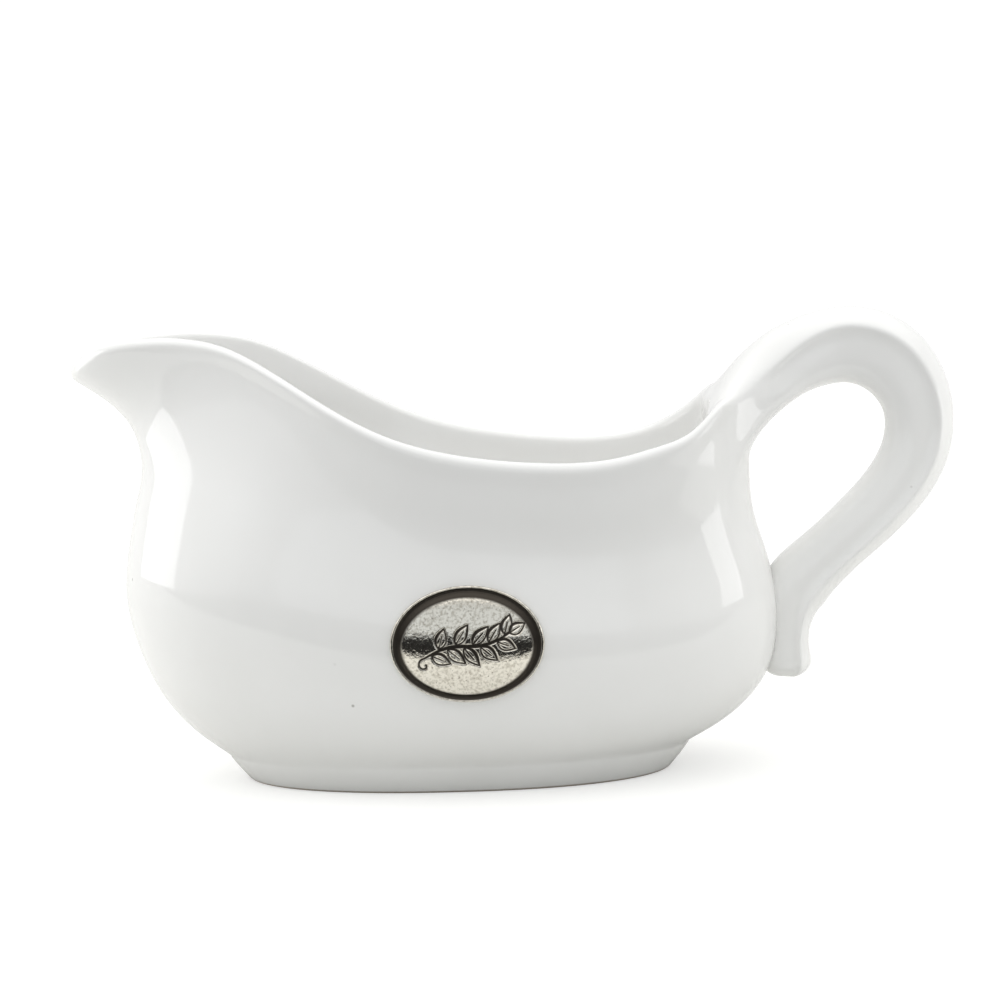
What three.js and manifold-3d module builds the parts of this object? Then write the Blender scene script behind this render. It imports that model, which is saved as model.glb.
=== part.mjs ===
// A cast stoneware gravy boat: bowl with a high pouring lip and a foot ring, a loop handle
// luted on with slip, and an oval pewter badge glued to one side. Millimetres, +Z up.
// Each shape is drawn about the middle of the foot: lip towards -X, handle towards +X, badge towards -Y.
// The whole boat is then set with its origin on the table, under the middle of its overall outline.
import * as THREE from 'three';
import { ParametricGeometry } from 'three/addons/geometries/ParametricGeometry.js';
import { mergeVertices } from 'three/addons/utils/BufferGeometryUtils.js';
import Module from 'manifold-3d';

// Driving dimensions
const FOOT = { length: 101.2, width: 57.4, height: 6.9, recess: 3.8 };
const BELLY = { front: 77.6, rear: 76.2, side: 45.5 };
const WALL = 3.8;
const FLOOR_Z = 9.4;
const FLOOR_DISH = 4; // how late the floor turns up towards the wall
const FILL_Z = 72; // level of a full bowl at its middle
const PLAN_POWER = { foot: 2.25, rim: 2.4 }; // squareness of the oval plan; 2 would be an ellipse
const PINCH = { depth: 0.44, run: 70, from: 0.35 }; // how the lip narrows towards its tip
// Extra wall inside the rim where the handle springs from it, and the cosine and level it starts from
const ROOT = { thickening: 5.6, cosine: 0.93, level: 0.75 };
const GAP = 0.3; // clearance between neighbouring solids
const SLIP = 0.6; // thickness of the slip between handle and wall
const BADGE = { width: 34, height: 25.4, x: 5.5, z: 36.9, edge: 1.2 };
const GLUE = { thickness: 0.4, inset: 2.5 };

// Foot ring's section from under the wall round to its hollow, as [inset from the widest line, height]
const FOOT_SECTION = [[-4.3, 6.7], [-0.5, 0.7], [0.4, 0], [3.6, 0], [4.8, FOOT.recess]];

// Badge's front from edge to middle, as [share of its radius, share of its edge height]: rim, groove, dome
const BADGE_FRONT = [[1, 0.33], [0.99, 0.83], [0.94, 1], [0.88, 0.92], [0.84, 0.58], [0.8, 0.58],
  [0.6, 1.03], [0.3, 1.27], [0, 1.33]];

// Height of the wall's top edge along the length of the bowl, as [x, z] from lip tip to handle
const SHEER = [[-87.7, 95.4], [-79, 100.6], [-68, 102.4], [-58, 102.8], [-39, 96.4], [-16, 83.2],
  [0, 77.3], [28, 73.7], [45, 75.2], [56, 79.6], [63, 84.2], [71, 88]];

// Wall outline, as [share of the height above the foot, share of the belly's reach]
const OUTLINE = {
  front: [[0, 0.722], [0.066, 0.822], [0.194, 0.929], [0.414, 1], [0.636, 0.969], [0.75, 0.938],
    [0.86, 0.959], [0.926, 1.017], [1, 1.13]],
  side: [[0, 0.715], [0.06, 0.822], [0.17, 0.92], [0.42, 1], [0.65, 0.965], [0.78, 0.932],
    [0.92, 0.926], [1, 0.948]],
  rear: [[0, 0.73], [0.055, 0.838], [0.129, 0.926], [0.22, 0.985], [0.42, 1.005], [0.58, 0.984],
    [0.65, 0.957], [0.75, 0.933], [1, 0.932]],
};

// Handle stations: x and z of the centre line, half thickness and half width there
const HANDLE = [
  { x: 67.5, z: 80.8, thick: 8, wide: 17 }, { x: 73, z: 87.8, thick: 8.5, wide: 12 },
  { x: 79, z: 93.1, thick: 8.4, wide: 9.3 }, { x: 87, z: 97.4, thick: 8.6, wide: 8.4 },
  { x: 97.8, z: 97.9, thick: 8.9, wide: 8.2 }, { x: 107.8, z: 91.5, thick: 8.9, wide: 8.2 },
  { x: 111, z: 80.3, thick: 7.8, wide: 8 }, { x: 103.6, z: 62.5, thick: 7.4, wide: 7.8 },
  { x: 92.1, z: 51.5, thick: 6.9, wide: 7.8 }, { x: 83.6, z: 42.4, thick: 6.6, wide: 7.8 },
  { x: 79, z: 33.4, thick: 5.2, wide: 8 }, { x: 78.4, z: 23.6, thick: 6, wide: 8.4 },
];
const HANDLE_POWER = 2.7; // squareness of the handle's section
const HANDLE_END = 3.4; // length of the rounding at the handle's lower end
const HANDLE_CAP = 1; // how far the closing point stands out before the first ring

// Mesh steps
const AROUND = 64;
const UP = 16;
const ROLL_STEPS = 5;
const FLOOR_SHARES = [0.45, 0.75, 0.92]; // loops across the floor inside
const FLOOR_LEVEL = 0.07; // level where the wall turns into the floor
const CROWDING = 1.25; // how much the outer wall's loops crowd towards the foot
const RIM_STEP = 0.01; // step of level that gives the wall's direction at the rim
const HANDLE_STEPS = 40;
const HANDLE_AROUND = 20;
const END_SHARES = [0.35, 0.65, 0.9, 1]; // loops over the rounding of the handle's lower end
const BADGE_AROUND = 40;
const BACK_SHARES = [0, 0.5, 0.97]; // loops over the badge's back
const SEARCH = { level: 0.4, share: 0.5, steps: 60 }; // start, stride and number of steps of findOnWall

const lerp = THREE.MathUtils.lerp;
const ease = THREE.MathUtils.smoothstep;
const power = (value, exponent) => Math.sign(value) * Math.abs(value) ** exponent;

// Smooth curve through [position, value] points, read at a position
function through(points, at) {
  const last = points.length - 1;
  const t = THREE.MathUtils.clamp(at, points[0][0], points[last][0]);
  let i = 0;
  while (i < last - 1 && points[i + 1][0] < t) i++;
  const slope = (k) => {
    const a = points[Math.max(k - 1, 0)];
    const b = points[Math.min(k + 1, last)];
    return (b[1] - a[1]) / (b[0] - a[0]);
  };
  const [t0, p0] = points[i];
  const [t1, p1] = points[i + 1];
  const h = t1 - t0;
  const u = (t - t0) / h;
  const v = 1 - u;
  return p0 * v * v * (1 + 2 * u) + p1 * u * u * (1 + 2 * v)
    + h * u * v * (slope(i) * v - slope(i + 1) * u);
}

// Point on the outside of the bowl's wall: angle from the handle side, level 0 at the foot to 1 at the rim
function skin(angle, level) {
  const exponent = 2 / lerp(PLAN_POWER.foot, PLAN_POWER.rim, level);
  const along = power(Math.cos(angle), exponent);
  const end = along < 0 ? 'front' : 'rear';
  const x = BELLY[end] * through(OUTLINE[end], level) * along;
  const rimX = BELLY[end] * through(OUTLINE[end], 1) * along;
  const pinch = 1 - PINCH.depth * ease(level, PINCH.from, 1) * ease(-x, 0, PINCH.run);
  const y = BELLY.side * through(OUTLINE.side, level) * power(Math.sin(angle), exponent) * pinch;
  const top = through(SHEER, rimX);
  return new THREE.Vector3(x, y, lerp(FOOT.height, top, level));
}

// Outward direction of the wall at that point
function skinNormal(angle, level) {
  const step = 1e-3;
  const low = Math.max(level - step, 0);
  const high = Math.min(level + step, 1);
  const across = skin(angle + step, level).sub(skin(angle - step, level));
  const up = skin(angle, high).sub(skin(angle, low));
  return across.cross(up).normalize();
}

function outerWall(angle, level, growth = 0) {
  return skin(angle, level).addScaledVector(skinNormal(angle, level), growth);
}

function innerWall(angle, level, growth = 0) {
  const nearHandle = ease(Math.cos(angle), ROOT.cosine, 1) * ease(level, ROOT.level, 1);
  return outerWall(angle, level, -WALL - ROOT.thickening * nearHandle - growth);
}

// Half-round roll that closes the rim from the outer wall (0) to the inner wall (1)
function rimRoll(angle, turn, growth = 0) {
  const outer = outerWall(angle, 1, growth);
  const inner = innerWall(angle, 1, growth);
  const upward = skin(angle, 1).sub(skin(angle, 1 - RIM_STEP)).normalize();
  const middle = outer.clone().add(inner).multiplyScalar(0.5);
  return middle.clone().addScaledVector(outer.sub(middle), Math.cos(Math.PI * turn))
    .addScaledVector(upward, (WALL / 2 + growth) * Math.sin(Math.PI * turn));
}

function footLoop(angle, inset, z) {
  const exponent = 2 / PLAN_POWER.foot;
  return new THREE.Vector3(
    (FOOT.length / 2 - inset) * power(Math.cos(angle), exponent),
    (FOOT.width / 2 - inset) * power(Math.sin(angle), exponent),
    z,
  );
}

// The bowl's closed outline at one angle, from the middle of the floor inside to the middle underneath
function bowlOutline(angle) {
  const points = [new THREE.Vector3(0, 0, FLOOR_Z)];
  const lowest = innerWall(angle, FLOOR_LEVEL);
  for (const share of FLOOR_SHARES) {
    const lift = (lowest.z - FLOOR_Z) * share ** FLOOR_DISH;
    points.push(new THREE.Vector3(lowest.x * share, lowest.y * share, FLOOR_Z + lift));
  }
  for (let i = 0; i < UP; i++) points.push(innerWall(angle, lerp(FLOOR_LEVEL, 1, i / UP)));
  for (let i = 0; i <= ROLL_STEPS; i++) points.push(rimRoll(angle, 1 - i / ROLL_STEPS));
  for (let i = UP - 1; i >= 0; i--) points.push(outerWall(angle, (i / UP) ** CROWDING));
  for (const [inset, z] of FOOT_SECTION) points.push(footLoop(angle, inset, z));
  points.push(new THREE.Vector3(0, 0, FOOT.recess));
  return points;
}

// The bowl filled to the brim and grown outwards: it trims whatever is fixed to the bowl
function filledOutline(angle, growth) {
  const points = [new THREE.Vector3(0, 0, FILL_Z)];
  for (let i = 0; i <= ROLL_STEPS; i++) points.push(rimRoll(angle, 1 - i / ROLL_STEPS, growth));
  for (let i = UP - 1; i >= 0; i--) points.push(outerWall(angle, (i / UP) ** CROWDING, growth));
  points.push(new THREE.Vector3(0, 0, FOOT.height));
  return points;
}

// Frame of the handle at a share of its length
function handleFrames() {
  const places = HANDLE.map((s) => new THREE.Vector3(s.x, 0, s.z));
  const line = new THREE.CatmullRomCurve3(places, false, 'centripetal');
  const station = (share, key) => through(HANDLE.map((s, i) => [i / (HANDLE.length - 1), s[key]]), share);
  return (share) => ({
    at: line.getPoint(share),
    along: line.getTangent(share),
    thick: station(share, 'thick'),
    wide: station(share, 'wide'),
  });
}

// Closed skin from a function of (row, column): first and last rows are single points
function closedSkin(pointAt, rows, columns) {
  const surface = (u, v, target) => target.copy(pointAt(Math.round(v * rows), Math.round(u * columns)));
  const grid = new ParametricGeometry(surface, columns, rows);
  grid.deleteAttribute('normal');
  grid.deleteAttribute('uv');
  const merged = mergeVertices(grid, 1e-4);
  const kept = [];
  for (let i = 0; i < merged.index.count; i += 3) {
    const [a, b, c] = [0, 1, 2].map((k) => merged.index.getX(i + k));
    if (a !== b && b !== c && c !== a) kept.push(a, b, c);
  }
  merged.setIndex(kept);
  return facingOut(merged);
}

function signedVolume(geometry) {
  const [a, b, c] = [new THREE.Vector3(), new THREE.Vector3(), new THREE.Vector3()];
  let volume = 0;
  for (let i = 0; i < geometry.index.count; i += 3) {
    const corner = (k) => geometry.index.getX(i + k);
    [a, b, c].forEach((p, k) => p.fromBufferAttribute(geometry.attributes.position, corner(k)));
    volume += a.dot(b.cross(c)) / 6;
  }
  return volume;
}

function facingOut(geometry) {
  if (signedVolume(geometry) < 0) geometry.setIndex([...geometry.index.array].reverse());
  return geometry;
}

// Closed skin from an outline at each angle round the bowl
function turned(outlineAt) {
  const outlines = [];
  for (let i = 0; i < AROUND; i++) outlines.push(outlineAt((2 * Math.PI * i) / AROUND));
  return closedSkin((row, column) => outlines[column % AROUND][row], outlines[0].length - 1, AROUND);
}

// The whole handle before it is trimmed to the wall: a rounded bar swept along its centre line
function handleBar() {
  const frameAt = handleFrames();
  const upright = new THREE.Vector3(0, 1, 0);
  const rings = [];
  const addRing = (share, shrink, push) => {
    const { at, along, thick, wide } = frameAt(share);
    const outward = new THREE.Vector3().crossVectors(along, upright);
    const ring = [];
    for (let i = 0; i < HANDLE_AROUND; i++) {
      const turn = (2 * Math.PI * i) / HANDLE_AROUND;
      ring.push(at.clone().addScaledVector(along, push)
        .addScaledVector(outward, shrink * thick * power(Math.cos(turn), 2 / HANDLE_POWER))
        .addScaledVector(upright, shrink * wide * power(Math.sin(turn), 2 / HANDLE_POWER)));
    }
    rings.push(ring);
  };
  addRing(0, 0, -HANDLE_CAP);
  for (let i = 0; i <= HANDLE_STEPS; i++) addRing(i / HANDLE_STEPS, 1, 0);
  for (const share of END_SHARES) addRing(1, Math.sqrt(1 - share * share), HANDLE_END * share);
  return closedSkin((row, column) => rings[row][column % HANDLE_AROUND], rings.length - 1, HANDLE_AROUND);
}

// Angle and level of the wall point on the badge side with this x and z
function findOnWall(x, z) {
  let angle = -Math.PI / 2;
  let { level } = SEARCH;
  for (let i = 0; i < SEARCH.steps; i++) {
    const here = skin(angle, level);
    angle += (SEARCH.share * (x - here.x)) / BELLY.rear;
    level += (SEARCH.share * (z - here.z)) / (FILL_Z - FOOT.height);
  }
  return [angle, level];
}

// Oval plate bent to the wall. Its outline is a list of [share of the radius, height above the wall]
function ovalPlate(inset, outline) {
  const pointAt = (row, column) => {
    const [share, lift] = outline[row];
    const turn = (2 * Math.PI * (column % BADGE_AROUND)) / BADGE_AROUND;
    const x = BADGE.x + (BADGE.width / 2 - inset) * share * Math.cos(turn);
    const z = BADGE.z + (BADGE.height / 2 - inset) * share * Math.sin(turn);
    const [angle, level] = findOnWall(x, z);
    return outerWall(angle, level, lift);
  };
  return closedSkin(pointAt, outline.length - 1, BADGE_AROUND);
}

function badgePlate() {
  const back = GAP + GLUE.thickness + GAP;
  const front = BADGE_FRONT.map(([share, rise]) => [share, back + rise * BADGE.edge]);
  return ovalPlate(0, [...BACK_SHARES.map((share) => [share, back]), ...front]);
}

function gluePad() {
  const [under, over] = [GAP, GAP + GLUE.thickness];
  return ovalPlate(GLUE.inset, [[0, under], [0.5, under], [1, under], [1, over], [0.5, over], [0, over]]);
}

const wasm = await Module();
wasm.setup();

function solid(geometry) {
  return new wasm.Manifold(new wasm.Mesh({
    numProp: 3,
    vertProperties: new Float32Array(geometry.attributes.position.array),
    triVerts: new Uint32Array(geometry.index.array),
  }));
}

function geometryOf(manifold) {
  const mesh = manifold.getMesh();
  const geometry = new THREE.BufferGeometry();
  geometry.setAttribute('position', new THREE.BufferAttribute(mesh.vertProperties, 3));
  geometry.setIndex(new THREE.BufferAttribute(mesh.triVerts, 1));
  return geometry;
}

// Keeps the body of a cut that reaches highest or lowest
function keepEnd(manifold, highest) {
  const bodies = manifold.decompose();
  const height = (body) => body.boundingBox().max[2];
  bodies.sort((a, b) => (highest ? height(b) - height(a) : height(a) - height(b)));
  return bodies[0];
}

const bar = solid(handleBar());
const [slipInside, slipOutside, handleInside] = [GAP, GAP + SLIP, GAP + SLIP + GAP]
  .map((growth) => solid(turned((angle) => filledOutline(angle, growth))));
const trimmedHandle = keepEnd(bar.subtract(handleInside), true);
const slipLayer = bar.intersect(slipOutside).subtract(slipInside);

const glaze = new THREE.MeshStandardMaterial({ color: 0xe9e8e4, roughness: 0.08, metalness: 0 });
const pewter = new THREE.MeshStandardMaterial({ color: 0xa9a49a, roughness: 0.35, metalness: 1 });
const glue = new THREE.MeshStandardMaterial({ color: 0xcfc9b8, roughness: 0.5, metalness: 0 });

const gravyBoat = new THREE.Group();

function add(name, geometry, material) {
  geometry.computeVertexNormals();
  const mesh = new THREE.Mesh(geometry, material);
  mesh.name = name;
  gravyBoat.add(mesh);
}

add('vessel', turned(bowlOutline), glaze);
add('handle', geometryOf(trimmedHandle), glaze);
add('handle_upper_slip', geometryOf(keepEnd(slipLayer, true)), glaze);
add('handle_lower_slip', geometryOf(keepEnd(slipLayer, false)), glaze);
add('badge', badgePlate(), pewter);
add('badge_adhesive', gluePad(), glue);

const outline = new THREE.Box3().setFromObject(gravyBoat);
const middle = outline.getCenter(new THREE.Vector3());
gravyBoat.position.set(-middle.x, -middle.y, -outline.min.z);

export default gravyBoat;
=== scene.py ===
# Looks of the gravy boat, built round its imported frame: glazed body, pewter badge, studio.
import math

import bmesh
import bpy
import numpy as np
from mathutils import Matrix, Vector


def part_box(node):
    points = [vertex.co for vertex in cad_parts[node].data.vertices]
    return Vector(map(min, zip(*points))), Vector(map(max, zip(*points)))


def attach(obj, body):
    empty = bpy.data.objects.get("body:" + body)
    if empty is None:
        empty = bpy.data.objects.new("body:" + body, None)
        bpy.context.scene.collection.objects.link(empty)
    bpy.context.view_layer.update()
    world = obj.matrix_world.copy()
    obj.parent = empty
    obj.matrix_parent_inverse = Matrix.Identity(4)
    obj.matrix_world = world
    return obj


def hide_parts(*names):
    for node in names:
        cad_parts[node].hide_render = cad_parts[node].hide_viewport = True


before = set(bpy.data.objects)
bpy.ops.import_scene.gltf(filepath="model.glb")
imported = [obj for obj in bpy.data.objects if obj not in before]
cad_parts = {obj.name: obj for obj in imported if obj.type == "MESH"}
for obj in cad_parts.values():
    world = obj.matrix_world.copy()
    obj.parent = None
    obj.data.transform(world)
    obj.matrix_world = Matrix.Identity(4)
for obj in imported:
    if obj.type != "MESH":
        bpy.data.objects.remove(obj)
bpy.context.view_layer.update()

# One millimetre of the boat, and its main places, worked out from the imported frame
BOWL_LOW, BOWL_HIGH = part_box("vessel")
GRIP_LOW, GRIP_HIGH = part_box("handle")
BADGE_LOW, BADGE_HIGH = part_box("badge")
BOAT_LENGTH, LIP_TO_FOOT_MIDDLE = 207.3, 88.4
MM = (GRIP_HIGH.x - BOWL_LOW.x) / BOAT_LENGTH
FOOT_MIDDLE = Vector((BOWL_LOW.x + LIP_TO_FOOT_MIDDLE * MM, (BOWL_LOW.y + BOWL_HIGH.y) / 2, BOWL_LOW.z))
BADGE_X = ((BADGE_LOW.x + BADGE_HIGH.x) / 2 - FOOT_MIDDLE.x) / MM
BADGE_Z = (BADGE_LOW.z + BADGE_HIGH.z) / 2 / MM
BADGE_WIDTH = (BADGE_HIGH.x - BADGE_LOW.x) / MM
BADGE_HEIGHT = (BADGE_HIGH.z - BADGE_LOW.z) / MM

# The bowl, in millimetres. The middle of the foot is x = 0, y = 0, z = 0
FOOT_LENGTH, FOOT_WIDTH, FOOT_HEIGHT, FOOT_FLARE = 101.2, 57.4, 6.9, 4.3
FOOT_BAND, FOOT_RECESS = 3.6, 3.8
BELLY_FRONT, BELLY_REAR, BELLY_SIDE = 77.6, 76.2, 45.5
WALL, FLOOR_Z, RIM_BEAD = 3.8, 9.4, 0.5
PLAN_POWER = 2.25
BEAD_FROM = 0.945  # level above which the rim's bead swells out
PINCH_DEPTH, PINCH_RUN, PINCH_FROM = 0.44, 70, 0.35  # the bowl narrows towards the lip
ROOT_THICKENING = 5.6
NEAR_DIP, NEAR_DIP_RUN = 2.2, (46, 60)  # the rim runs lower into the handle on the badge side

# Height of the wall's top edge at places along the bowl, from lip tip to handle root
SHEER = [(-87.7, 96), (-79, 101.8), (-68, 103.6), (-58, 103.6), (-48, 101.7), (-39, 97.3), (-16, 83.4),
         (0, 77.3), (28, 73.7), (45, 75.2), (56, 80.4), (61.5, 85.6), (66, 89.8), (71, 93.5)]

# Wall outline: share of the height above the foot, share of the belly's reach
FRONT = [(0, 0.722), (0.066, 0.822), (0.194, 0.929), (0.414, 1), (0.636, 0.969), (0.75, 0.938),
         (0.86, 0.959), (0.926, 1.017), (1, 1.13)]
SIDE = [(0, 0.715), (0.06, 0.822), (0.17, 0.92), (0.42, 1), (0.58, 0.977), (0.7, 0.947),
        (0.78, 0.945), (0.86, 0.96), (0.93, 0.969), (1, 0.972)]
REAR = [(0, 0.73), (0.052, 0.838), (0.121, 0.926), (0.206, 0.985), (0.36, 1.005), (0.498, 0.978),
        (0.573, 0.95), (0.64, 0.934), (0.74, 0.93), (1, 0.934)]

# Handle: x and z of its centre line, half thickness and half width, from the rim round to the pad
HANDLE = [(75.4, 91.7, 8.5, 13.6), (80.8, 95.1, 8.4, 11.1), (89.1, 98, 8.8, 9.2), (97.2, 98.3, 9.1, 8.4),
          (105.1, 94.5, 9.1, 8.2), (110.5, 86, 8.2, 8.2), (111, 76.9, 8, 8), (108.4, 69.2, 7.8, 8),
          (103.1, 62.1, 7.5, 7.8), (97.2, 56.4, 7.3, 7.8), (91.2, 51.1, 7, 7.8), (85, 45.6, 7.4, 7.8),
          (79.8, 39.8, 8, 7.9), (78.8, 31, 4.9, 8), (78.5, 24.2, 6.1, 8.4)]
HANDLE_END, HANDLE_SOFTENING = 4, 0.07
RIDGE_DROP, RIDGE_DROP_RUN = 0.36, 0.19  # near the root the handle's ridges sit lower
ROOT_TOP_X, ROOT_TOP_Z, ROOT_EASED, ROOT_PASSES = 69.5, 95, (4, 10), 24

# Handle's section from the middle of its underside to its top: angle, then outward and sideways shares
SECTION = [(0, -1, 0), (22, -0.94, 0.42), (45, -0.74, 0.73), (65, -0.42, 0.88), (85, -0.1, 0.92),
           (105, 0.2, 0.925), (118, 0.36, 0.955), (127, 0.47, 1), (134, 0.565, 0.975), (143, 0.69, 0.8),
           (155, 0.84, 0.53), (167, 0.95, 0.26), (180, 1, 0)]

# Badge: height over the wall at distances in from its edge, and where its ornament runs
BADGE_PROFILE = [(0, 0.05), (0.12, 0.8), (0.35, 1.15), (0.62, 1.05), (1.0, 0.66), (1.45, 0.55),
                 (1.95, 0.78), (2.6, 1.08), (4.5, 1.5), (8, 1.98), (12, 2.24), (15, 2.3)]
BADGE_BACK = 0.5
SPRIG_LENGTH, SPRIG_RISE, LEAF_LENGTH, LEAF_WIDTH = 19, 5, 5.2, 1.15
ENGRAVING = 0.26

# Camera and studio
LENS, SENSOR = 91.6, 36
DARK_FLOOR_Y, FLOOR_REACH, FLOOR_LIFT = -118, 6000, 0.25

# Mesh steps
BADGE_SPOKES, BADGE_EDGE_RINGS, BADGE_RINGS = 448, 26, 76
COLUMNS, WALL_ROWS, ROLL_ROWS, HANDLE_RINGS = 128, 36, 8, 72
ROOT_COLUMNS, ROOT_OUTER, ROOT_ROLL, ROOT_LOOPS = 9, 9, 6, 10


def ease(value, low, high):
    """0 below low, 1 above high, and a smooth step between them."""
    share = np.clip((value - low) / (high - low), 0, 1)
    return share * share * (3 - 2 * share)


def power(value, exponent):
    return np.sign(value) * np.abs(value) ** exponent


def through(points, at, soften):
    """Smooth curve near (place, value) points, rounded over a stretch of soften to each side."""
    place, value = np.array(points, float).T
    slope = np.empty(len(place))
    slope[1:-1] = (value[2:] - value[:-2]) / (place[2:] - place[:-2])
    slope[0] = (value[1] - value[0]) / (place[1] - place[0])
    slope[-1] = (value[-1] - value[-2]) / (place[-1] - place[-2])

    def read(t):
        i = np.clip(np.searchsorted(place, t) - 1, 0, len(place) - 2)
        h = place[i + 1] - place[i]
        u = (t - place[i]) / h
        inside = np.clip(u, 0, 1)
        v = 1 - inside
        curve = (value[i] * v * v * (1 + 2 * inside) + value[i + 1] * inside * inside * (1 + 2 * v)
                 + h * inside * v * (slope[i] * v - slope[i + 1] * inside))
        return curve + (u - inside) * h * np.where(u < 0, slope[0], slope[-1])

    at = np.asarray(at, float)
    offsets = np.linspace(-1, 1, 13)
    weights = (1 - offsets ** 2) ** 2
    return sum(w * read(at + soften * o) for w, o in zip(weights, offsets)) / weights.sum()


def sheer(x):
    """Height of the wall's top edge at x, turning tighter near the handle."""
    return through(SHEER, x, 5 - 2 * ease(x, 40, 58))


def skin(angle, level):
    """Outside of the bowl's wall at an angle from the handle and a level: 0 at the foot, 1 at the rim."""
    angle, level = np.broadcast_arrays(np.asarray(angle, float), np.asarray(level, float))
    exponent = 2 / (PLAN_POWER + 0.15 * level)
    along = power(np.cos(angle), exponent)
    front = along < 0
    reach = np.where(front, BELLY_FRONT * through(FRONT, level, 0.05),
                     BELLY_REAR * through(REAR, level, 0.05))
    rim_reach = np.where(front, BELLY_FRONT * FRONT[-1][1], BELLY_REAR * REAR[-1][1])
    x = reach * along
    pinch = 1 - PINCH_DEPTH * ease(level, PINCH_FROM, 1) * ease(-x, 0, PINCH_RUN)
    y = BELLY_SIDE * through(SIDE, level, 0.05) * power(np.sin(angle), exponent) * pinch
    dip = NEAR_DIP * ease(rim_reach * along, *NEAR_DIP_RUN) * ease(-np.sin(angle), 0, 0.45)
    top = sheer(rim_reach * along) - dip
    return np.stack([x, y, FOOT_HEIGHT + (top - FOOT_HEIGHT) * level], -1)


def unit(vectors):
    return vectors / np.linalg.norm(vectors, axis=-1, keepdims=True)


def outer_wall(angle, level, growth=0.0):
    """The glazed outside: the skin moved outwards by growth, with the rim's bead on it."""
    step = 1e-3
    across = skin(angle + step, level) - skin(angle - step, level)
    upward = skin(angle, level + step) - skin(angle, level - step)
    bead = RIM_BEAD * ease(np.asarray(level, float), BEAD_FROM, 1)
    lift = np.asarray(growth + bead)[..., None]
    return skin(angle, level) + unit(np.cross(across, upward)) * lift


def inner_wall(angle, level):
    """The inside: a wall's thickness in from the skin, more at the handle's root."""
    near_handle = ease(np.cos(angle), 0.85, 1) * ease(level, 0.6, 1)
    bead = RIM_BEAD * ease(level, BEAD_FROM, 1)
    wall = outer_wall(angle, level, -WALL - ROOT_THICKENING * near_handle - bead)
    fall = sheer(wall[..., 0]) - sheer(skin(angle, level)[..., 0])
    wall[..., 2] += fall * ease(level, 0.6, 1)
    return wall


def foot_loop(angle, inset, z):
    """Loop round the foot at height z, inset from its standing outline."""
    exponent = 2 / PLAN_POWER
    x = (FOOT_LENGTH / 2 - inset) * power(np.cos(angle), exponent)
    y = (FOOT_WIDTH / 2 - max(inset, 0.8 * inset)) * power(np.sin(angle), exponent)
    return np.stack([x, y, np.full_like(x, z)], -1)


def bowl_rows():
    """Loops round the bowl from the middle of its floor, up inside, over the rim and down to the foot."""
    angle = np.arange(COLUMNS) * 2 * math.pi / COLUMNS
    lowest = inner_wall(angle, 0.074)
    rows = []
    for share in (0.02, 0.2, 0.4, 0.57, 0.7, 0.8, 0.88, 0.95):
        loop = lowest * share
        loop[:, 2] = FLOOR_Z + (lowest[:, 2] - FLOOR_Z) * share ** 5
        rows.append(loop)
    levels = np.arange(WALL_ROWS + 1) / WALL_ROWS
    rows += [inner_wall(angle, level) for level in levels[2:]]
    outer, inner = outer_wall(angle, 1.0), rows[-1]
    upward = unit(skin(angle, 1.0) - skin(angle, 0.99))
    middle = (outer + inner) / 2
    for i in range(1, ROLL_ROWS):
        turn = math.pi * (1 - i / ROLL_ROWS)
        rows.append(middle + (outer - middle) * math.cos(turn)
                    + upward * (WALL + RIM_BEAD) / 2 * math.sin(turn))
    rim_row = len(rows)
    rows += [outer_wall(angle, level) for level in levels[::-1]]
    for inset, z in ((-FOOT_FLARE - 0.25, FOOT_HEIGHT - 0.7), (-FOOT_FLARE, FOOT_HEIGHT - 1.3), (-3.1, 4),
                     (-1.5, 2), (-0.4, 0.8), (0.0, 0.25), (0.5, 0.02), (1.2, 0), (FOOT_BAND - 0.6, 0),
                     (FOOT_BAND, 0.3), (FOOT_BAND + 0.8, 2.6), (FOOT_BAND + 2, FOOT_RECESS)):
        rows.append(foot_loop(angle, inset, z))
    for share in (0.6, 0.25, 0.02):
        loop = foot_loop(angle, FOOT_BAND + 2, FOOT_RECESS)
        loop[:, :2] *= share
        rows.append(loop)
    return np.array(rows), rim_row


def handle_turns():
    """Angles round the handle's section from the middle of its underside, one for each point of the
    root's opening."""
    stretches = ((0, 45, ROOT_COLUMNS), (45, 121, ROOT_OUTER), (121, 141, ROOT_ROLL),
                 (141, 219, 2 * ROOT_COLUMNS), (219, 239, ROOT_ROLL), (239, 315, ROOT_OUTER),
                 (315, 360, ROOT_COLUMNS))
    return np.radians(np.concatenate([np.linspace(a, b, n, endpoint=False) for a, b, n in stretches]))


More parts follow.
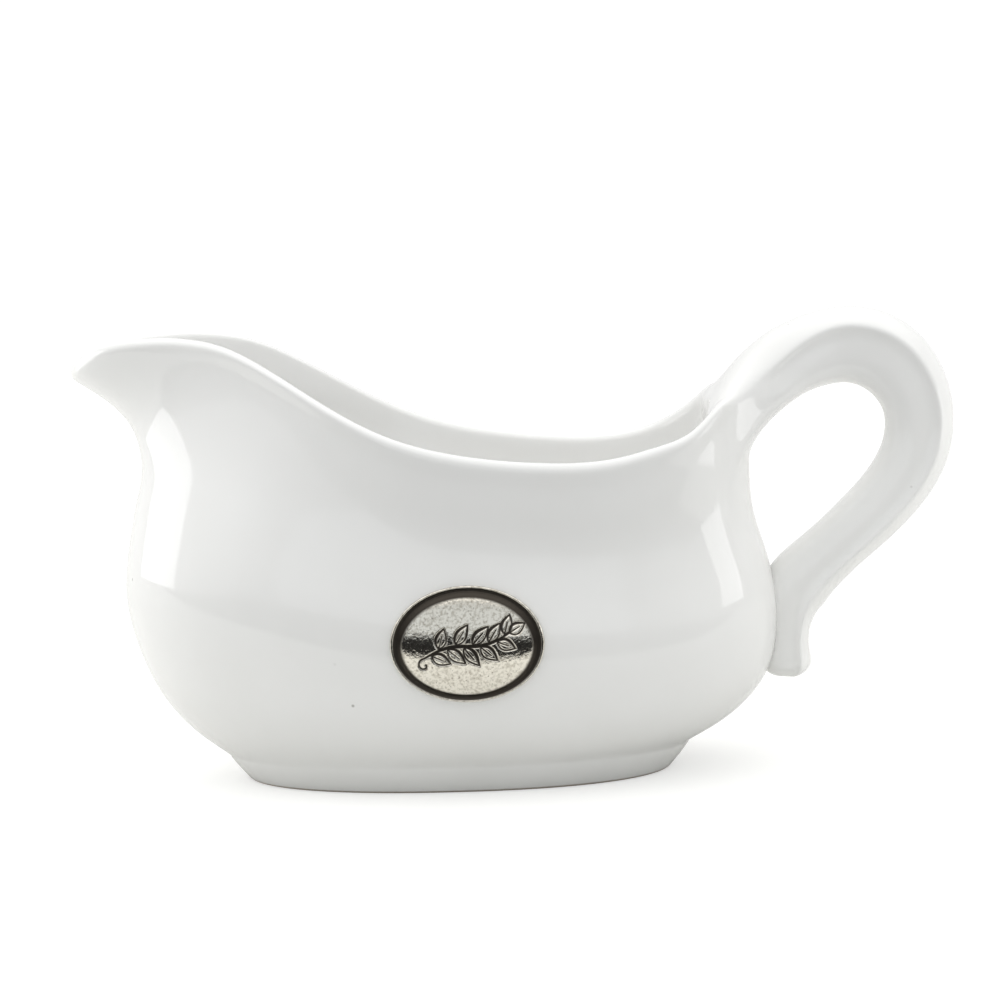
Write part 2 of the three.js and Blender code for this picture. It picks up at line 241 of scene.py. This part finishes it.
def handle_rings():
    """Rings along the handle from its root at the rim to its lower end, then the rounded end itself."""
    places = np.array(HANDLE, float)
    knots = np.arange(len(places)) / (len(places) - 1)
    fine = np.linspace(0, 1, 600)

    def read(share):
        columns = [np.stack([knots, places[:, k]], 1) for k in range(4)]
        return np.stack([through(column, share, HANDLE_SOFTENING) for column in columns], -1)

    length = np.concatenate([[0], np.cumsum(np.linalg.norm(np.diff(read(fine)[:, :2], axis=0), axis=1))])
    shares = np.interp(np.linspace(0, length[-1], HANDLE_RINGS), length, fine)
    turns = np.degrees(handle_turns())
    half = np.minimum(turns, 360 - turns)
    section = np.array(SECTION, float)
    mirrored = np.concatenate([section[:0:-1] * (-1, 1, -1), section])
    out_share = through(mirrored[:, :2], half, 4)
    side_share = through(mirrored[:, ::2], half, 4) * np.where(turns < 180, 1, -1)
    rings = []

    def add(share, shrink=1.0, push=0.0):
        x, z, thick, wide = read(share)
        near_root = 1 - ease(share, 0, RIDGE_DROP_RUN)
        lowered = out_share - RIDGE_DROP * np.abs(side_share) ** 3 * near_root
        ahead, behind = read(share + 1e-3), read(share - 1e-3)
        along = unit(np.array([ahead[0] - behind[0], 0, ahead[1] - behind[1]]))
        outward = np.cross(along, [0, 1, 0])
        centre = np.array([x, 0, z]) + along * push
        rings.append(centre + np.outer(lowered * thick * shrink, outward)
                     + np.outer(side_share * wide * shrink, [0, 1, 0]))

    for share in shares:
        add(share)
    for lean in np.radians((15, 30, 45, 60, 75, 87)):
        add(1.0, math.cos(lean) ** 0.7, HANDLE_END * math.sin(lean))
    return np.array(rings)


def root_opening(rim_row):
    """(row, column) of each point round the opening where the handle grows out of wall and rim, and the
    point just outside each of them."""
    low, high = rim_row + ROOT_OUTER, rim_row - ROOT_ROLL
    c = ROOT_COLUMNS
    edge = [((low, k), (low + 1, k)) for k in range(c)]
    edge += [((low, c), (low + 1, c + 1))] + [((r, c), (r, c + 1)) for r in range(low - 1, high, -1)]
    edge += [((high, c), (high - 1, c + 1))] + [((high, k), (high - 1, k)) for k in range(c - 1, -c, -1)]
    edge += [((high, -c), (high - 1, -c - 1))] + [((r, -c), (r, -c - 1)) for r in range(high + 1, low)]
    edge += [((low, -c), (low + 1, -c - 1))] + [((low, k), (low + 1, k)) for k in range(-c + 1, 0)]
    return [inside for inside, _ in edge], [outside for _, outside in edge]


def blended_loops(outside, edge, ring, beyond):
    """Loops that carry the opening's edge into the handle's first ring, bent as little as possible."""
    count, loops = len(edge), ROOT_LOOPS
    step = np.linalg.norm(ring - edge, axis=1, keepdims=True) / loops
    outside = edge + unit(outside - edge) * step
    beyond = ring + unit(beyond - ring) * step
    index = np.arange((loops - 1) * count).reshape(loops - 1, count)
    equations, targets = [], []

    def known(m, i):
        return {-1: outside, 0: edge, loops: ring, loops + 1: beyond}[m][i]

    def equation(terms):
        row, target = np.zeros(index.size), np.zeros(3)
        for m, i, weight in terms:
            if 1 <= m < loops:
                row[index[m - 1, i % count]] += weight
            else:
                target -= weight * known(m, i % count)
        equations.append(row)
        targets.append(target)

    for i in range(count):
        for m in (0, loops):
            equation([(m - 1, i, 1), (m, i, -2), (m + 1, i, 1)])
        for m in range(1, loops):
            equation([(m - 1, i, 1), (m + 1, i, 1), (m, i - 1, 1), (m, i + 1, 1), (m, i, -4)])
    solved = np.linalg.lstsq(np.array(equations), np.array(targets), rcond=None)[0]
    return solved.reshape(loops - 1, count, 3)


def ceramic_mesh():
    """Bowl and handle as one closed glazed skin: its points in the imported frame, and its faces."""
    rows, rim_row = bowl_rows()
    rings = handle_rings()
    edge, outside = root_opening(rim_row)
    edge_points = np.array([rows[r, c] for r, c in edge])
    outside_points = np.array([rows[r, c] for r, c in outside])
    bridge = blended_loops(outside_points, edge_points, rings[0], rings[1])

    row_count = len(rows)
    number = np.arange(row_count * COLUMNS).reshape(row_count, COLUMNS)
    opening = {(r, c % COLUMNS) for r in range(rim_row - ROOT_ROLL, rim_row + ROOT_OUTER)
               for c in range(-ROOT_COLUMNS, ROOT_COLUMNS)}
    faces = [(number[r, c], number[r, (c + 1) % COLUMNS], number[r + 1, (c + 1) % COLUMNS], number[r + 1, c])
             for r in range(row_count - 1) for c in range(COLUMNS) if (r, c) not in opening]
    faces += [tuple(number[0][::-1]), tuple(number[-1])]
    points = [rows.reshape(-1, 3), bridge.reshape(-1, 3), rings.reshape(-1, 3)]
    loops = [np.array([number[r, c % COLUMNS] for r, c in edge])]
    start = number.size
    for _ in range(len(bridge) + len(rings)):
        loops.append(start + np.arange(len(edge)))
        start += len(edge)
    for here, there in zip(loops[:-1], loops[1:]):
        faces += [(here[i], there[i], there[i - 1], here[i - 1]) for i in range(len(edge))]
    faces.append(tuple(loops[-1]))
    return soften_root(np.concatenate(points), faces) * MM + np.array(FOOT_MIDDLE), faces


def soften_root(points, faces):
    """The points, with those near the top of the handle's root evened out between their neighbours."""
    share = 1 - ease(np.hypot(points[:, 0] - ROOT_TOP_X, points[:, 2] - ROOT_TOP_Z), *ROOT_EASED)
    pairs = np.array([(f[i - 1], f[i]) for f in faces if len(f) == 4 for i in range(4)])
    touches = np.bincount(pairs[:, 0], minlength=len(points))
    for _ in range(ROOT_PASSES):
        totals = [np.bincount(pairs[:, 0], points[pairs[:, 1], k], len(points)) for k in range(3)]
        middle = np.stack(totals, 1) / np.maximum(touches, 1)[:, None]
        points = points + (middle - points) * (0.5 * share * (touches > 0))[:, None]
    return points


def wall_behind_badge():
    """Smooth formula y(a, b) for the wall round the badge's middle, fitted to the bowl's skin."""
    angle, level = np.meshgrid(np.radians(np.linspace(-125, -55, 36)), np.linspace(0.02, 0.85, 36))
    wall = skin(angle, level).reshape(-1, 3)
    a, b = wall[:, 0] - BADGE_X, wall[:, 2] - BADGE_Z
    near = (np.abs(a) < BADGE_WIDTH * 0.62) & (np.abs(b) < BADGE_HEIGHT * 0.62)
    powers = [(i, j) for i in range(5) for j in range(5 - i)]
    terms = np.stack([(a[near] / 10) ** i * (b[near] / 10) ** j for i, j in powers], 1)
    shares = np.linalg.lstsq(terms, wall[near, 1], rcond=None)[0]
    return lambda a, b: sum(s * (a / 10) ** i * (b / 10) ** j for s, (i, j) in zip(shares, powers))


def sprig():
    """Engraved leaf sprig: places of its strokes' middles, and the half width of the cut at each."""
    def stem(t):
        wave = 0.9 * np.sin(2 * math.pi * t)
        return np.stack([(t - 0.5) * SPRIG_LENGTH, (t - 0.5) * SPRIG_RISE + wave], -1)

    t = np.linspace(0, 1, 160)
    strokes = [(stem(t), 0.16 + 0.2 * np.sin(math.pi * t))]
    curl = np.linspace(0, 1.6 * math.pi, 50)
    reach = 1.5 - curl * 0.22
    start = stem(np.array(0.0))
    curled = np.stack([-np.sin(curl) * reach, -1.5 + np.cos(curl) * reach], -1)
    strokes.append((start + curled, np.full_like(curl, 0.17)))
    places = [(0.12 + 0.19 * k, side) for k in range(5) for side in (1, -1)] + [(0.97, 0)]
    t = np.linspace(0, 1, 44)
    for place, side in places:
        here = stem(np.array(place + 0.05 * side))
        run = stem(np.array(place + 0.02)) - stem(np.array(place - 0.02))
        lean = math.atan2(run[1], run[0]) + side * math.radians(48)
        along = np.array([math.cos(lean), math.sin(lean)])
        across = np.array([-math.sin(lean), math.cos(lean)])
        length = LEAF_LENGTH * (1 - 0.45 * abs(place - 0.45))
        for bulge in (1, -1):
            swell = bulge * LEAF_WIDTH * np.sin(math.pi * t ** 0.8)
            strokes.append((here + np.outer(0.5 + t * length, along) + np.outer(swell, across),
                            0.13 + 0.17 * np.sin(math.pi * t) * (bulge == 1)))
        strokes.append((here + np.outer(t * length * 0.75, along), 0.14 - 0.07 * t))
    return np.concatenate([p for p, _ in strokes]), np.concatenate([w for _, w in strokes])


def badge_mesh():
    """Badge as one closed piece: raised rim, groove, domed field with the sprig cut into it, hollow back.
    The third result is how dark the metal is at each point: aged patina in the engraving and the groove, and
    painted shade where the groove's dark band widens towards the top."""
    turns = np.arange(BADGE_SPOKES) * 2 * math.pi / BADGE_SPOKES
    reach = (BADGE_WIDTH + BADGE_HEIGHT) / 4
    depths = np.concatenate([np.linspace(0, 2.6, BADGE_EDGE_RINGS, endpoint=False),
                             np.linspace(2.6, reach * 0.996, BADGE_RINGS)])
    shares = 1 - depths / reach
    a = np.outer(shares, np.cos(turns) * BADGE_WIDTH / 2)
    b = np.outer(shares, np.sin(turns) * BADGE_HEIGHT / 2)
    height = np.repeat(through(BADGE_PROFILE, depths, 0.08)[:, None], BADGE_SPOKES, 1)

    places, widths = sprig()
    cut = np.empty(a.size)
    flat = np.stack([a.ravel(), b.ravel()], 1)
    for first in range(0, a.size, 4000):
        part = flat[first:first + 4000]
        away = np.hypot(part[:, :1] - places[:, 0], part[:, 1:] - places[:, 1]) - widths
        cut[first:first + 4000] = 1 - ease(away.min(1), -0.02, 0.16)
    cut = cut.reshape(a.shape)
    height = height - ENGRAVING * cut

    back = np.array([0.975, 0.955, 0.5, 0.02])
    back_height = np.array([0.05, BADGE_BACK, BADGE_BACK, BADGE_BACK])
    a = np.concatenate([a, np.outer(back, np.cos(turns) * BADGE_WIDTH / 2)])
    b = np.concatenate([b, np.outer(back, np.sin(turns) * BADGE_HEIGHT / 2)])
    height = np.concatenate([height, np.repeat(back_height[:, None], BADGE_SPOKES, 1)])
    wall, step = wall_behind_badge(), 0.01
    lean = [(wall(a + da, b + db) - wall(a - da, b - db)) / (2 * step) for da, db in ((step, 0), (0, step))]
    out = unit(np.stack([lean[0], -np.ones_like(a), lean[1]], -1))
    points = np.stack([BADGE_X + a, wall(a, b), BADGE_Z + b], -1) + out * height[..., None]

    front = len(depths)
    order = list(range(front - 1, -1, -1)) + list(range(front, front + len(back)))
    number = np.arange(a.size).reshape(a.shape)
    faces = [(number[r, i - 1], number[r, i], number[s, i], number[s, i - 1])
             for r, s in zip(order[:-1], order[1:]) for i in range(BADGE_SPOKES)]
    faces += [tuple(number[front - 1]), tuple(number[-1][::-1])]
    # The groove's dark band is aged patina; its widening towards the top of the badge is painted shade.
    patina_and_painted_shade_ends = 2 + 0.4 * abs(np.sin(turns)) + 0.5 * np.sin(turns)
    groove = ease(depths, 0.45, 0.8)[:, None] * (1 - ease(depths[:, None] - patina_and_painted_shade_ends, 0, 0.8))
    patina_and_painted_shade = np.zeros(a.shape)
    patina_and_painted_shade[:front] = np.maximum(cut, groove)
    return points.reshape(-1, 3) * MM + np.array(FOOT_MIDDLE), faces, patina_and_painted_shade.ravel()


def new_object(name, points, faces, smooth=True):
    """Object in the scene made of the points that its faces use."""
    mesh = bpy.data.meshes.new(name)
    mesh.from_pydata([tuple(p) for p in points], [], [tuple(int(i) for i in f) for f in faces])
    used = {i for f in faces for i in f}
    if len(used) < len(points):
        drop_loose(mesh)
    mesh.validate()
    for polygon in mesh.polygons:
        polygon.use_smooth = smooth
    made = bpy.data.objects.new(name, mesh)
    bpy.context.scene.collection.objects.link(made)
    return made


def drop_loose(mesh):
    shape = bmesh.new()
    shape.from_mesh(mesh)
    bmesh.ops.delete(shape, geom=[v for v in shape.verts if not v.link_faces], context="VERTS")
    bmesh.ops.recalc_face_normals(shape, faces=shape.faces)
    shape.to_mesh(mesh)
    shape.free()


def node_material(name):
    material = bpy.data.materials.new(name)
    material.use_nodes = True
    nodes, links = material.node_tree.nodes, material.node_tree.links
    return material, nodes, links, nodes["Principled BSDF"]


def noise(nodes, links, where, scale, detail=3.0):
    made = nodes.new("ShaderNodeTexNoise")
    made.inputs["Scale"].default_value = scale / MM
    made.inputs["Detail"].default_value = detail
    links.new(where, made.inputs["Vector"])
    return made.outputs["Fac"]


def ramp(nodes, links, value, *stops):
    """Grey ramp through (place, level) stops, or through (place, colour) stops."""
    made = nodes.new("ShaderNodeValToRGB")
    marks = made.color_ramp.elements
    while len(marks) < len(stops):
        marks.new(0.5)
    for mark, (place, level) in zip(marks, stops):
        mark.position = place
        mark.color = (*level, 1) if isinstance(level, tuple) else (level, level, level, 1)
    links.new(value, made.inputs["Fac"])
    return made.outputs["Color"]


def blend(nodes, links, share, under, over):
    """Colour under, with over laid on it by share; each may be a socket or a colour."""
    made = nodes.new("ShaderNodeMix")
    made.data_type = "RGBA"
    for socket, value in ((made.inputs[0], share), (made.inputs[6], under), (made.inputs[7], over)):
        if isinstance(value, tuple):
            socket.default_value = (*value, 1)
        elif isinstance(value, float):
            socket.default_value = value
        else:
            links.new(value, socket)
    return made.outputs[2]


def place_of(nodes):
    return nodes.new("ShaderNodeTexCoord").outputs["Object"]


def bumpy(nodes, links, shader, height, depth):
    made = nodes.new("ShaderNodeBump")
    made.inputs["Distance"].default_value = depth * MM
    made.inputs["Strength"].default_value = 1
    links.new(height, made.inputs["Height"])
    links.new(made.outputs["Normal"], shader.inputs["Normal"])


def glaze_material():
    """White glaze with a few dark specks, and bare clay where the foot stands."""
    material, nodes, links, shader = node_material("glaze")
    where = place_of(nodes)
    white = ramp(nodes, links, noise(nodes, links, where, 0.03), (0.35, (0.87, 0.868, 0.85)),
                 (0.65, (0.89, 0.888, 0.872)))

    cells = nodes.new("ShaderNodeTexVoronoi")
    cells.inputs["Scale"].default_value = 0.085 / MM
    links.new(where, cells.inputs["Vector"])
    speck = ramp(nodes, links, cells.outputs["Distance"], (0.02, 1.0), (0.04, 0.0))
    rare = ramp(nodes, links, cells.outputs["Color"], (0.5, 0.0), (0.6, 0.55))
    specks = blend(nodes, links, rare, (0.0, 0.0, 0.0), speck)
    glazed = blend(nodes, links, specks, white, (0.2, 0.18, 0.15))

    height = nodes.new("ShaderNodeSeparateXYZ")
    links.new(where, height.inputs[0])
    low = nodes.new("ShaderNodeMapRange")
    low.inputs["From Min"].default_value = FOOT_MIDDLE.z + 0.7 * MM
    low.inputs["From Max"].default_value = FOOT_MIDDLE.z + 0.3 * MM
    links.new(height.outputs["Z"], low.inputs["Value"])
    bare = low.outputs["Result"]
    links.new(blend(nodes, links, bare, glazed, (0.36, 0.29, 0.22)), shader.inputs["Base Color"])
    links.new(blend(nodes, links, bare, (0.07, 0.07, 0.07), (0.7, 0.7, 0.7)), shader.inputs["Roughness"])
    shader.inputs["IOR"].default_value = 1.5
    bumpy(nodes, links, shader, noise(nodes, links, where, 0.06, 1.0), 0.05)
    return material


def pewter_material():
    """Mottled, pitted pewter, dark with age in the groove and the engraving, and with painted shade where
    the groove's dark band widens along the top.
    """
    material, nodes, links, shader = node_material("pewter")
    where = place_of(nodes)
    mottle = ramp(nodes, links, noise(nodes, links, where, 1.5, 8.0), (0.36, (0.6, 0.56, 0.48)),
                  (0.54, (0.88, 0.84, 0.75)))
    pits = ramp(nodes, links, noise(nodes, links, where, 2.6, 3.0), (0.3, 0.8), (0.38, 0.0))
    metal = blend(nodes, links, pits, mottle, (0.2, 0.17, 0.14))
    # Darkening from the mesh: aged patina in the hollows, plus painted shade along the top of the groove.
    patina_and_painted_shade = nodes.new("ShaderNodeAttribute")
    patina_and_painted_shade.attribute_name = "patina_and_painted_shade"
    dark = patina_and_painted_shade.outputs["Fac"]
    links.new(blend(nodes, links, dark, metal, (0.055, 0.048, 0.04)), shader.inputs["Base Color"])
    links.new(blend(nodes, links, dark, (0.1, 0.1, 0.1), (0.4, 0.4, 0.4)), shader.inputs["Roughness"])
    shader.inputs["Metallic"].default_value = 1
    bumpy(nodes, links, shader, noise(nodes, links, where, 1.7, 4.0), 0.05)
    return material


def adhesive_material():
    material, nodes, links, shader = node_material("adhesive")
    tone = ramp(nodes, links, noise(nodes, links, place_of(nodes), 0.4), (0.4, (0.6, 0.56, 0.47)),
                (0.6, (0.68, 0.64, 0.55)))
    links.new(tone, shader.inputs["Base Color"])
    shader.inputs["Roughness"].default_value = 0.6
    return material


def glow(name, colour, strength):
    material = bpy.data.materials.new(name)
    material.use_nodes = True
    nodes, links = material.node_tree.nodes, material.node_tree.links
    nodes.remove(nodes["Principled BSDF"])
    emission = nodes.new("ShaderNodeEmission")
    emission.inputs["Color"].default_value = (*colour, 1)
    emission.inputs["Strength"].default_value = strength
    links.new(emission.outputs[0], nodes["Material Output"].inputs["Surface"])
    return material


def sheet(name, width, height):
    """Flat rectangle round the origin."""
    x, y = width / 2 * MM, height / 2 * MM
    return new_object(name, [(-x, -y, 0), (x, -y, 0), (x, y, 0), (-x, y, 0)], [(0, 1, 2, 3)], False)


def card(name, centre, width, height, aim, colour, strength):
    """Panel that lights the boat and shows in its glaze, and that the camera can't see."""
    panel = sheet(name, width, height)
    place, target = FOOT_MIDDLE + Vector(centre) * MM, FOOT_MIDDLE + Vector(aim) * MM
    panel.location = place
    panel.rotation_mode = "QUATERNION"
    panel.rotation_quaternion = (target - place).to_track_quat("Z", "Y")
    panel.data.materials.append(glow(name, colour, strength))
    panel.visible_camera = False
    panel.visible_shadow = False


def white_room():
    """World: plain white for the camera. For the light it is bright above and behind, dimmer at the sides,
    and dark in front."""
    world = bpy.data.worlds.new("white_room")
    bpy.context.scene.world = world
    world.use_nodes = True
    nodes, links = world.node_tree.nodes, world.node_tree.links
    split = nodes.new("ShaderNodeSeparateXYZ")
    links.new(nodes.new("ShaderNodeTexCoord").outputs["Generated"], split.inputs[0])

    def share(low, high):
        made = nodes.new("ShaderNodeMapRange")
        made.interpolation_type = "SMOOTHSTEP"
        made.inputs["From Min"].default_value, made.inputs["From Max"].default_value = low, high
        links.new(split.outputs["Y"], made.inputs["Value"])
        return made.outputs["Result"]

    front = ramp(nodes, links, split.outputs["Z"], (0.0, (0.26, 0.27, 0.29)), (0.21, (0.26, 0.27, 0.29)),
                 (0.26, (0.07, 0.07, 0.075)), (0.5, (0.1, 0.1, 0.1)), (0.78, (2.05, 2.04, 2.0)))
    side = ramp(nodes, links, split.outputs["Z"], (0.0, 0.72), (0.45, 0.72), (0.75, 1.95))
    behind = ramp(nodes, links, split.outputs["Z"], (0.0, 1.05), (0.5, 1.05), (0.75, 1.9))
    light = blend(nodes, links, share(-0.96, -0.5), front, side)
    light = blend(nodes, links, share(0.3, 0.8), light, behind)
    seen = nodes.new("ShaderNodeLightPath").outputs["Is Camera Ray"]
    background = nodes["Background"]
    links.new(blend(nodes, links, seen, light, (1.3, 1.3, 1.3)), background.inputs["Color"])
    background.inputs["Strength"].default_value = 0.82


def white_floor():
    """Pale floor, lifted for the camera so that only the contact shadow shows on it. Away from the boat,
    towards the camera, it is dark in reflections and dim to bounced light."""
    floor = sheet("floor", 2 * FLOOR_REACH, 2 * FLOOR_REACH)
    material = bpy.data.materials.new("floor")
    material.use_nodes = True
    nodes, links = material.node_tree.nodes, material.node_tree.links
    nodes.remove(nodes["Principled BSDF"])
    plain, lifted = nodes.new("ShaderNodeBsdfDiffuse"), nodes.new("ShaderNodeEmission")
    mix, lift = nodes.new("ShaderNodeMixShader"), nodes.new("ShaderNodeMath")
    where, ray = place_of(nodes), nodes.new("ShaderNodeLightPath").outputs
    tone = ramp(nodes, links, noise(nodes, links, where, 0.01), (0.4, (0.73, 0.73, 0.71)),
                (0.6, (0.74, 0.74, 0.72)))
    split = nodes.new("ShaderNodeSeparateXYZ")
    links.new(where, split.inputs[0])
    beyond = nodes.new("ShaderNodeMath")
    beyond.operation = "LESS_THAN"
    links.new(split.outputs["Y"], beyond.inputs[0])
    beyond.inputs[1].default_value = FOOT_MIDDLE.y + DARK_FLOOR_Y * MM
    distant = blend(nodes, links, ray["Is Diffuse Ray"], (0.02, 0.02, 0.02), (0.4, 0.4, 0.4))
    unseen = blend(nodes, links, beyond.outputs[0], tone, distant)
    links.new(blend(nodes, links, ray["Is Camera Ray"], unseen, tone), plain.inputs["Color"])
    lifted.inputs["Strength"].default_value = 2
    lift.operation = "MULTIPLY"
    lift.inputs[1].default_value = FLOOR_LIFT
    links.new(ray["Is Camera Ray"], lift.inputs[0])
    links.new(lift.outputs[0], mix.inputs[0])
    links.new(plain.outputs[0], mix.inputs[1])
    links.new(lifted.outputs[0], mix.inputs[2])
    links.new(mix.outputs[0], nodes["Material Output"].inputs["Surface"])
    floor.data.materials.append(material)


def studio():
    white_room()
    white_floor()
    card("left_window", (-265, 6, 122), 140, 142, (-80, 6, 122), (1, 1, 1), 3.2)
    card("right_window", (200, -28, 76), 56, 54, (50, -28, 76), (1, 1, 1), 2.7)
    card("front_panel", (40, -1000, 335), 1400, 620, (40, 0, 335), (0.93, 0.97, 1), 0.76)


def camera():
    """The camera stands where the photograph's camera stood."""
    place = FOOT_MIDDLE + Vector((40, -600, 124.8)) * MM
    yaw, pitch, roll = math.radians(-2.69), math.radians(5.77), math.radians(2.03)
    forward = Vector((math.sin(yaw) * math.cos(pitch), math.cos(yaw) * math.cos(pitch), -math.sin(pitch)))
    level = Vector((math.cos(yaw), -math.sin(yaw), 0))
    above = level.cross(forward)
    right = level * math.cos(roll) - above * math.sin(roll)
    up = level * math.sin(roll) + above * math.cos(roll)
    data = bpy.data.cameras.new("camera")
    data.sensor_width, data.lens = SENSOR, LENS
    data.clip_start, data.clip_end = 10 * MM, 20000 * MM
    made = bpy.data.objects.new("camera", data)
    made.matrix_world = Matrix.Translation(place) @ Matrix((right, up, -forward)).transposed().to_4x4()
    bpy.context.scene.collection.objects.link(made)
    bpy.context.scene.camera = made


points, faces = ceramic_mesh()
boat = new_object("glazed_boat", points, faces)
boat.data.materials.append(glaze_material())
fine = boat.modifiers.new("fine", "SUBSURF")
fine.levels = fine.render_levels = 1
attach(boat, "root")
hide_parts("vessel", "handle", "handle_upper_slip", "handle_lower_slip")

points, faces, patina_and_painted_shade = badge_mesh()
badge = new_object("badge_plate", points, faces)
# Per-point darkness: aged patina in the engraving and the groove, plus painted shade along the badge's top.
badge.data.attributes.new("patina_and_painted_shade", "FLOAT", "POINT").data.foreach_set("value", patina_and_painted_shade)
badge.data.materials.append(pewter_material())
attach(badge, "root")
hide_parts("badge")

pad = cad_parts["badge_adhesive"]
pad.data.materials.clear()
pad.data.materials.append(adhesive_material())

studio()
camera()
bpy.context.scene.view_settings.view_transform = "Standard"
